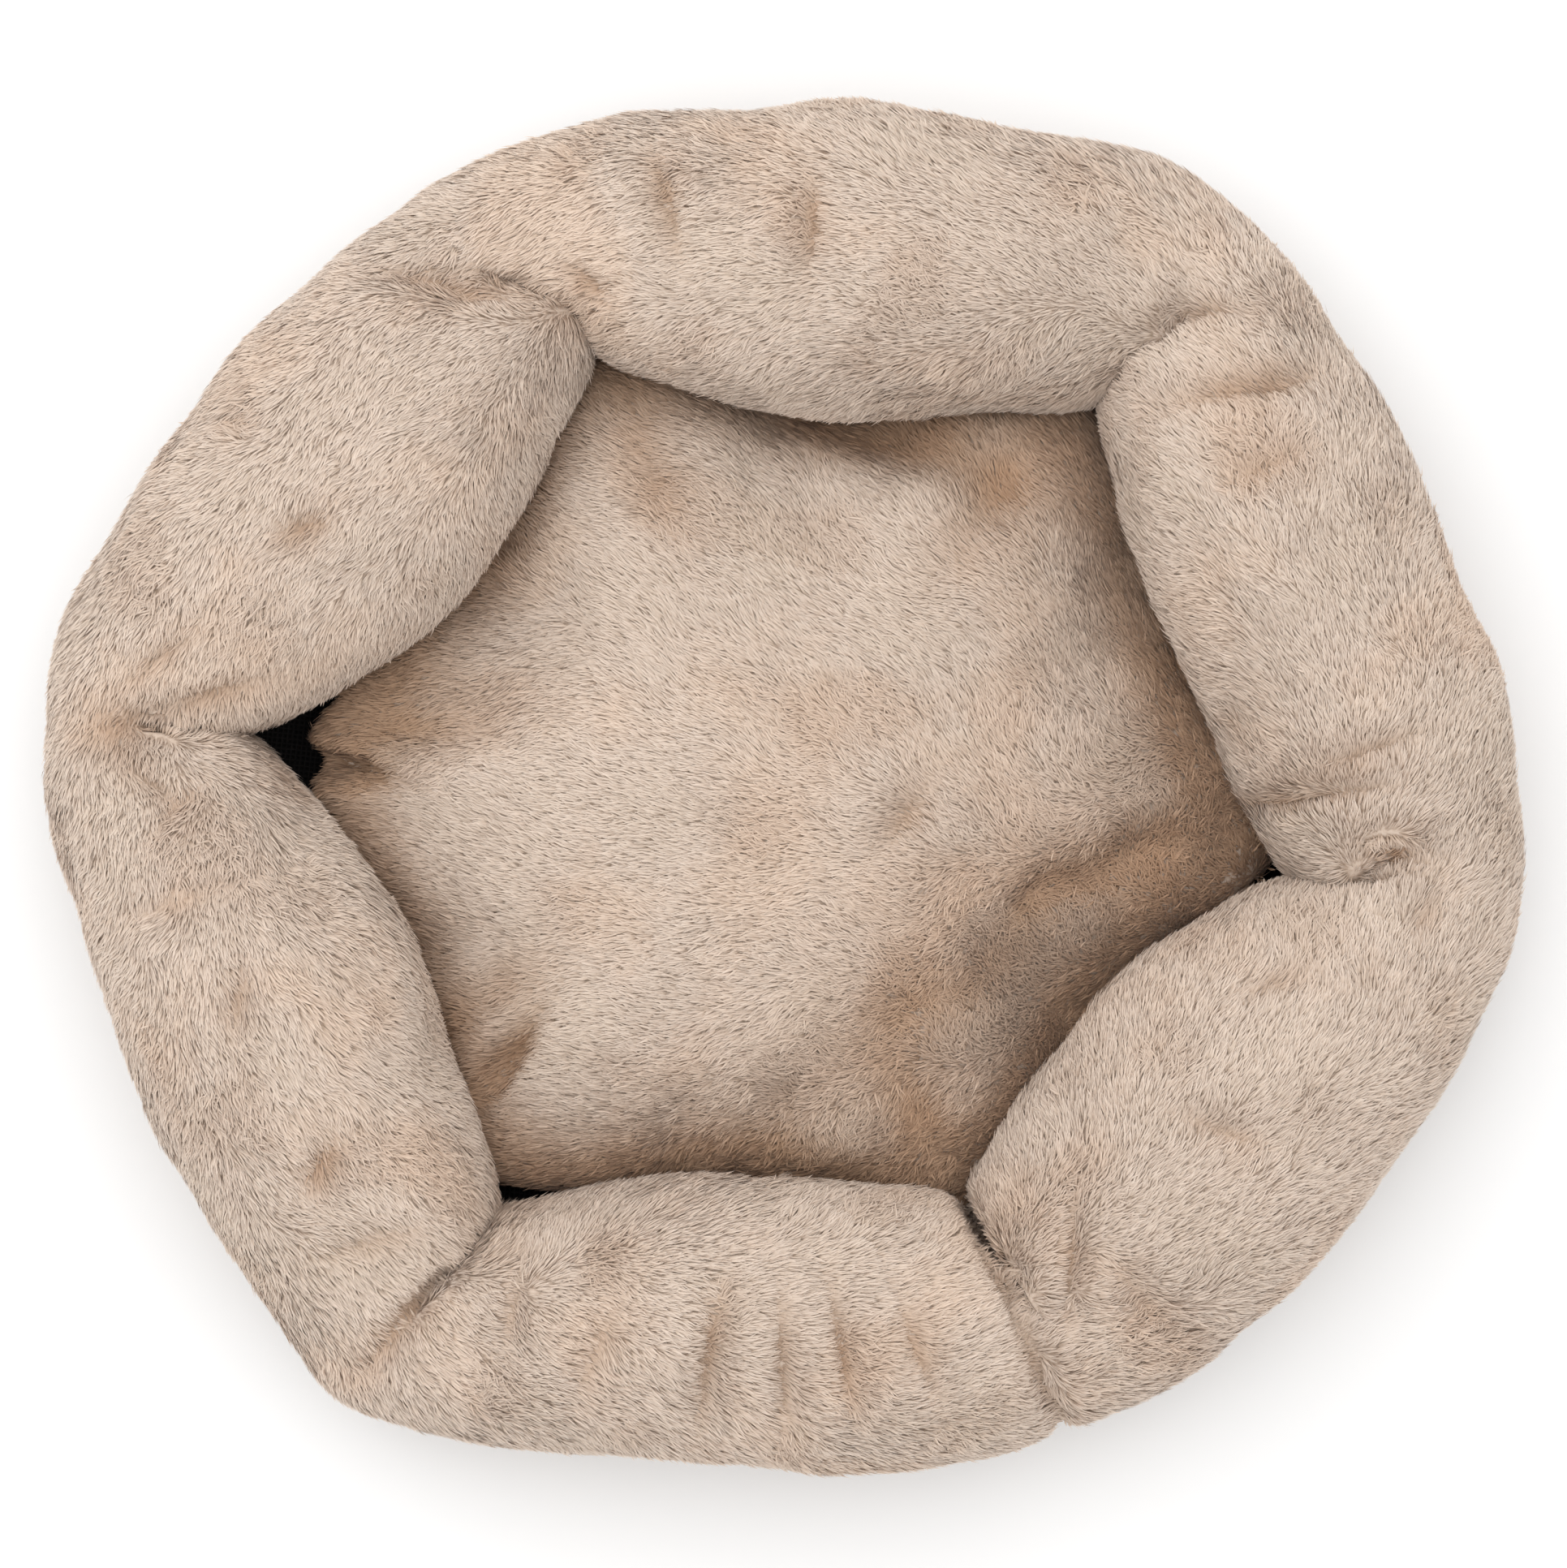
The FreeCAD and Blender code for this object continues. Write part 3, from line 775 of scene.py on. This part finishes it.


def dent_shade(points, hollows):
    """How far into a dent each point is, from 0 to 1: how much painted shade it gets there."""
    dark = np.zeros(len(points))
    for angle, reach, heading, half_length, half_width, deep in hollows:
        along, aside = along_and_aside(points, angle, reach, heading)
        dark += deep / FULL_SHADE_DEPTH * np.exp(-((along / half_length) ** 2) - (aside / half_width) ** 2)
    return np.clip(dark, 0, 1)


def rim_density(points, normals):
    """Thin where the pile can't be seen: under the rim, and deep in the creases."""
    angle = polar(points)[0]
    away = np.abs((angle + SIDE_TURN / 2) % SIDE_TURN - SIDE_TURN / 2)
    radial = unit(points * (1, 1, 0))
    facing_along = np.abs((normals * np.cross(radial, (0, 0, 1))).sum(axis=1))
    seen = smooth_step((points[:, 2] - FOOT) / 0.004) * smooth_step((normals[:, 2] + 0.95) / 0.5)
    inward = (normals * radial).sum(axis=1) < 0
    seen = np.where(inward & (points[:, 2] < 0.04), 0.15 * seen, seen)
    deep = (away < 1.2) & (facing_along > 0.8) & (points[:, 2] < 0.108)
    return np.where(deep, 0.5, 1.0) * seen


FLANK_TURN = np.radians(34)  # the nap turns down by this much on the flanks, and by LOW_TURN more below
LOW_TURN = np.radians(10)
BROAD_SWAY = np.radians(16)  # how far the nap wanders, broadly and finely
FINE_SWAY = np.radians(12)


def comb_rim(points, normals):
    """The rim's nap runs anticlockwise along the ridge and fans down both flanks, and painted shade where
    brushed the wrong way.
    """
    radial = unit(points * (1, 1, 0))
    along = np.cross((0, 0, 1), radial)
    down = unit(np.array([0, 0, -1]) + normals * normals[:, 2:3])
    steep = 1 - normals[:, 2]
    fan = FLANK_TURN * smooth_step(steep / 0.5) + LOW_TURN * smooth_step((steep - 0.8) / 0.6)
    sway = BROAD_SWAY * waves(points, 0.035, 61) + FINE_SWAY * waves(points, 0.014, 62)
    inner = (normals * radial).sum(axis=1) < 0
    turn = fan + np.where(inner, 1, -1) * sway
    flow = along * np.cos(turn)[:, None] + down * np.sin(turn)[:, None]
    rough = 0.8 * smooth_step(waves(points, 0.030, 63) - 0.2)
    # The third value is painted shade where the pile is brushed the wrong way.
    return flow, rough, RIM_BRUSHED_SHADE * rough


EDGE_SHADE = 0.8  # painted shade on the cushion's pile where it turns down to its seam beside the rim
EDGE_START = 0.76  # from this share of the way out to the seam
EDGE_WIDTH = 0.18
NAP_BLEND = 0.06

# The cushion's nap: plan angle and reach of a place, and the way that the pile runs there.
CUSHION_NAP = [(0, 0.0, 157), (180, 0.12, 184), (225, 0.12, 182), (270, 0.11, 208), (60, 0.12, 140),
               (110, 0.12, 155), (330, 0.11, 176), (0, 0.12, 150), (300, 0.12, 200)]


def comb_cushion(points, normals):
    """The cushion's nap as a smooth mix of the ways given for a few places, and its painted shade where
    brushed and near its edge.
    """
    flow = np.zeros_like(points)
    for angle, reach, way in CUSHION_NAP:
        plan = math.radians(angle)
        gap = np.hypot(points[:, 0] - reach * math.cos(plan), points[:, 1] - reach * math.sin(plan))
        weight = np.exp(-((gap / NAP_BLEND) ** 2))[:, None]
        flow += weight * np.array([math.cos(math.radians(way)), math.sin(math.radians(way)), 0])
    flow = unit(flow)
    sway = np.radians(14) * waves(points, 0.040, 71) + np.radians(10) * waves(points, 0.015, 72)
    brushed = smooth_step((points[:, 0] * 0.75 - points[:, 1] * 0.66 - 0.03) / 0.08)
    sway += np.radians(45) * brushed * waves(points, 0.022, 73)
    rough = 0.5 * smooth_step(waves(points, 0.030, 74) - 0.3) + 0.9 * brushed
    angle, reach = polar(points)
    share = reach / cushion_reach(angle)
    # Painted shade: where the pile is brushed the wrong way, and towards the edge where the cushion turns
    # down beside the rim.
    painted_comb_shade = CUSHION_BRUSHED_SHADE * rough + EDGE_SHADE * smooth_step((share - EDGE_START) / EDGE_WIDTH)
    upright = np.broadcast_to([0.0, 0.0, 1.0], flow.shape)
    return turn_about(flow, upright, sway), rough, painted_comb_shade


def cushion_density(points, normals):
    """None on the cushion's underside."""
    above_base = smooth_step((points[:, 2] - CUSHION_BASE - 0.003) / 0.004)
    return above_base * smooth_step((normals[:, 2] + 0.9) / 0.5)


# ----------------------------------------------------------------------------------- the materials


class Nodes:
    """A material's node tree, built a node at a time."""

    def __init__(self, name):
        self.material = bpy.data.materials.new(name)
        self.material.use_nodes = True
        self.tree = self.material.node_tree
        self.shader = self.tree.nodes["Principled BSDF"]

    def add(self, kind, **values):
        """A new node with some of its settings."""
        node = self.tree.nodes.new(kind)
        for key, value in values.items():
            setattr(node, key, value)
        return node

    def link(self, source, target):
        """Joins an output to an input."""
        self.tree.links.new(source, target)

    def noise(self, scale, detail, stretch=(1, 1, 1)):
        """Noise in the object's own coordinates."""
        place = self.add("ShaderNodeTexCoord")
        mapping = self.add("ShaderNodeMapping")
        mapping.inputs["Scale"].default_value = stretch
        texture = self.add("ShaderNodeTexNoise")
        texture.inputs["Scale"].default_value = scale
        texture.inputs["Detail"].default_value = detail
        self.link(place.outputs["Object"], mapping.inputs["Vector"])
        self.link(mapping.outputs["Vector"], texture.inputs["Vector"])
        return texture.outputs["Fac"]

    def ramp(self, source, stops):
        """Colours by value: stops are (position, colour)."""
        ramp = self.add("ShaderNodeValToRGB")
        ramp.color_ramp.elements[0].position = stops[0][0]
        ramp.color_ramp.elements[0].color = (*stops[0][1], 1)
        ramp.color_ramp.elements[1].position = stops[-1][0]
        ramp.color_ramp.elements[1].color = (*stops[-1][1], 1)
        for position, colour in stops[1:-1]:
            ramp.color_ramp.elements.new(position).color = (*colour, 1)
        self.link(source, ramp.inputs["Fac"])
        return ramp.outputs["Color"]

    def multiply(self, first, second):
        """The product of two colours."""
        mix = self.add("ShaderNodeMix", data_type="RGBA", blend_type="MULTIPLY")
        mix.inputs["Factor"].default_value = 1.0
        self.link(first, mix.inputs[6])
        self.link(second, mix.inputs[7])
        return mix.outputs[2]

    def bump(self, height, strength, distance):
        """Small relief in the shading only."""
        bump = self.add("ShaderNodeBump")
        bump.inputs["Strength"].default_value = strength
        bump.inputs["Distance"].default_value = distance
        self.link(height, bump.inputs["Height"])
        self.link(bump.outputs["Normal"], self.shader.inputs["Normal"])

    def finish(self, roughness, specular, sheen=0.0):
        """Sets the shader's plain values and gives back the material."""
        self.shader.inputs["Roughness"].default_value = roughness
        self.shader.inputs["Specular IOR Level"].default_value = specular
        self.shader.inputs["Sheen Weight"].default_value = sheen
        self.shader.inputs["Sheen Roughness"].default_value = 0.5
        return self.material


def grey(value):
    """A neutral colour."""
    return (value, value, value)


TONE_STOPS = [(0.0, (0.80, 0.78, 0.76)), (0.5, grey(0.94)), (1.0, grey(1.0))]
BLOTCH_STOPS = [(0.35, (1.0, 0.965, 0.93)), (0.5, grey(0.98)), (0.66, (0.965, 0.965, 0.955))]
# The painted shade's colour, from none to the full.
PAINTED_SHADE_STOPS = [(0.0, grey(1.0)), (1.0, (0.68, 0.54, 0.43))]


def pile_material(name, root, body, tip):
    """Blades darker towards the root as painted shade deep in the pile, with tufts of slightly different
    tone, broad soft blotches, and the painted shade of dents, brushed patches and the cushion's edge.
    """
    nodes = Nodes(name)
    height = nodes.add("ShaderNodeAttribute", attribute_name="height")
    tone = nodes.add("ShaderNodeAttribute", attribute_name="tone")
    painted_shade = nodes.add("ShaderNodeAttribute", attribute_name="painted_shade")
    # Painted shade deep in the pile: darker and browner towards the root.
    colour = nodes.ramp(height.outputs["Fac"], [(0.0, root), (0.5, body), (1.0, tip)])
    shade = nodes.ramp(tone.outputs["Fac"], TONE_STOPS)
    colour = nodes.multiply(colour, shade)
    blotch = nodes.ramp(nodes.noise(16, 3), BLOTCH_STOPS)
    colour = nodes.multiply(colour, blotch)
    # Painted shade, darker and browner, in the dents, brushed patches and at the cushion's edge.
    painted_shade_colour = nodes.ramp(painted_shade.outputs["Fac"], PAINTED_SHADE_STOPS)
    nodes.link(nodes.multiply(colour, painted_shade_colour), nodes.shader.inputs["Base Color"])
    return nodes.finish(0.9, 0.2, 0.15)


def backing_material(name, dark, light):
    """The knitted backing that the pile grows from."""
    nodes = Nodes(name)
    colour = nodes.ramp(nodes.noise(900, 2, (1, 1, 0.6)), [(0.3, dark), (0.7, light)])
    nodes.link(colour, nodes.shader.inputs["Base Color"])
    nodes.bump(nodes.noise(1200, 2), 0.4, 0.0001)
    return nodes.finish(0.95, 0.1)


WAVES_PER_METRE = 0.314  # the wave texture's scale that gives one wave in a metre


def weave_material(name, dark, light, pitch):
    """A coarse plain weave: two crossed sets of yarns, with a little slub."""
    nodes = Nodes(name)
    place = nodes.add("ShaderNodeTexCoord")
    bands = []
    for axis in ("X", "Y"):
        wave = nodes.add("ShaderNodeTexWave", wave_type="BANDS", bands_direction=axis, wave_profile="SIN")
        wave.inputs["Scale"].default_value = WAVES_PER_METRE / pitch
        wave.inputs["Distortion"].default_value = 0.6
        wave.inputs["Detail Scale"].default_value = 4.0
        nodes.link(place.outputs["Object"], wave.inputs["Vector"])
        bands.append(wave.outputs["Fac"])
    crossed = nodes.add("ShaderNodeMath", operation="MAXIMUM")
    nodes.link(bands[0], crossed.inputs[0])
    nodes.link(bands[1], crossed.inputs[1])
    colour = nodes.ramp(crossed.outputs[0], [(0.35, dark), (1.0, light)])
    slub = nodes.ramp(nodes.noise(220, 3), [(0.3, grey(0.6)), (0.7, grey(1.0))])
    nodes.link(nodes.multiply(colour, slub), nodes.shader.inputs["Base Color"])
    nodes.bump(crossed.outputs[0], 0.8, 0.0008)
    return nodes.finish(0.8, 0.3)


def thread_material():
    """Twisted sewing thread."""
    nodes = Nodes("tack_thread")
    wave = nodes.add("ShaderNodeTexWave", bands_direction="DIAGONAL")
    wave.inputs["Scale"].default_value = 320
    place = nodes.add("ShaderNodeTexCoord")
    nodes.link(place.outputs["Object"], wave.inputs["Vector"])
    colour = nodes.ramp(wave.outputs["Fac"], [(0.2, (0.20, 0.14, 0.10)), (0.8, (0.42, 0.32, 0.25))])
    nodes.link(colour, nodes.shader.inputs["Base Color"])
    nodes.bump(wave.outputs["Fac"], 0.5, 0.0003)
    return nodes.finish(0.6, 0.4)


def paint(piece, material):
    """Gives every face of a piece one material."""
    piece.data.materials.clear()
    piece.data.materials.append(material)


# ------------------------------------------------------------------------ the floor, light, camera


def make_stage():
    """A plain pale floor."""
    floor = new_piece("studio_floor", [(-4, -4, 0), (4, -4, 0), (4, 4, 0), (-4, 4, 0)], [(0, 1, 2, 3)])
    nodes = Nodes("studio_floor")
    nodes.shader.inputs["Base Color"].default_value = (0.90, 0.90, 0.90, 1)
    paint(floor, nodes.finish(0.9, 0.1))


def make_area_light(name, place, aim, size, power):
    """A square soft box."""
    data = bpy.data.lights.new(name, "AREA")
    data.size = size
    data.energy = power
    lamp = bpy.data.objects.new(name, data)
    lamp.location = place
    lamp.rotation_euler = (Vector(aim) - Vector(place)).to_track_quat("-Z", "Y").to_euler()
    bpy.context.scene.collection.objects.link(lamp)


SKY_STRENGTH = 0.96
KEY_PLACE = (-0.4, 0.6, 2.3)
KEY_AIM = (0, 0, 0.05)
KEY_SIZE = 2.6
KEY_POWER = 30


def make_lights():
    """A pale sky all round and one large soft box above."""
    world = bpy.data.worlds.new("studio_sky")
    world.use_nodes = True
    sky = world.node_tree.nodes["Background"]
    sky.inputs["Color"].default_value = (1, 1, 1, 1)
    sky.inputs["Strength"].default_value = SKY_STRENGTH
    bpy.context.scene.world = world
    make_area_light("key_light", KEY_PLACE, KEY_AIM, KEY_SIZE, KEY_POWER)
    bpy.context.scene.view_settings.view_transform = "Standard"


CAMERA_TURN = 6.6  # the bed stands turned this far clockwise in the picture
CAMERA_HEIGHT = 1.90
CAMERA_OFFSET = (-0.0015, 0.0044)  # along the picture's own axes


def make_camera():
    """Straight above the bed."""
    data = bpy.data.cameras.new("camera")
    data.lens = 100
    data.sensor_width = 36
    camera = bpy.data.objects.new("camera", data)
    turn = math.radians(CAMERA_TURN)
    right, up = CAMERA_OFFSET
    camera.location = (
        right * math.cos(turn) - up * math.sin(turn),
        right * math.sin(turn) + up * math.cos(turn),
        CAMERA_HEIGHT,
    )
    camera.rotation_euler = (0, 0, turn)
    bpy.context.scene.collection.objects.link(camera)
    bpy.context.scene.camera = camera


# -------------------------------------------------------------------------------------- putting up

WEAVE_DARK = (0.0025, 0.0022, 0.002)
WEAVE_LIGHT = (0.014, 0.012, 0.011)
WEAVE_PITCH = 0.0022
BACKING_DARK = (0.62, 0.490, 0.390)
BACKING_LIGHT = (0.72, 0.590, 0.490)
# The darker root colour is painted shade deep in the pile.
ROOT_COLOUR = (0.55, 0.420, 0.315)
BODY_COLOUR = (0.68, 0.550, 0.450)
TIP_COLOUR = (0.83, 0.705, 0.605)

make_camera()
make_lights()
make_stage()

pile = pile_material("plush_pile", ROOT_COLOUR, BODY_COLOUR, TIP_COLOUR)
backing = backing_material("plush_backing", BACKING_DARK, BACKING_LIGHT)

rim = make_rim_grid()
rim_normals = grid_normals(rim)
for side in range(SIDES):
    bolster, skin = slice_bolster(rim, rim_normals, side)
    paint(bolster, backing)
    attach(bolster, "bed")
    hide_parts(f"bolster_cover_{side + 1}", f"bolster_filling_{side + 1}")
    fur = grow_pile(f"bolster_{side + 1}_pile", skin, BLADES_PER_BOLSTER, RIM_BLADE_WIDTH, rim_density,
                    comb_rim, RIM_DENTS, pile)
    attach(fur, "bed")

tacks = make_tacks(rim)
paint(tacks, thread_material())
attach(tacks, "bed")
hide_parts("corner_tacks")

cushion = make_cushion()
paint(cushion, backing)
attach(cushion, "cushion")
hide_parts("cushion_underside", "cushion_top", "cushion_filling")
skin = skin_of(cushion)
for coat in ("undercoat", "pile"):
    fur = grow_pile(f"cushion_{coat}", skin, BLADES_ON_CUSHION, CUSHION_BLADE_WIDTH, cushion_density,
                    comb_cushion, CUSHION_DENTS, pile)
    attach(fur, "cushion")

lining = bpy.data.objects["floor_lining"]
panel = bpy.data.objects["base_panel"]
black_weave = weave_material("lining_weave", WEAVE_DARK, WEAVE_LIGHT, WEAVE_PITCH)
for cloth_piece in (lining, panel):
    for slot in cloth_piece.material_slots:
        slot.material = black_weave
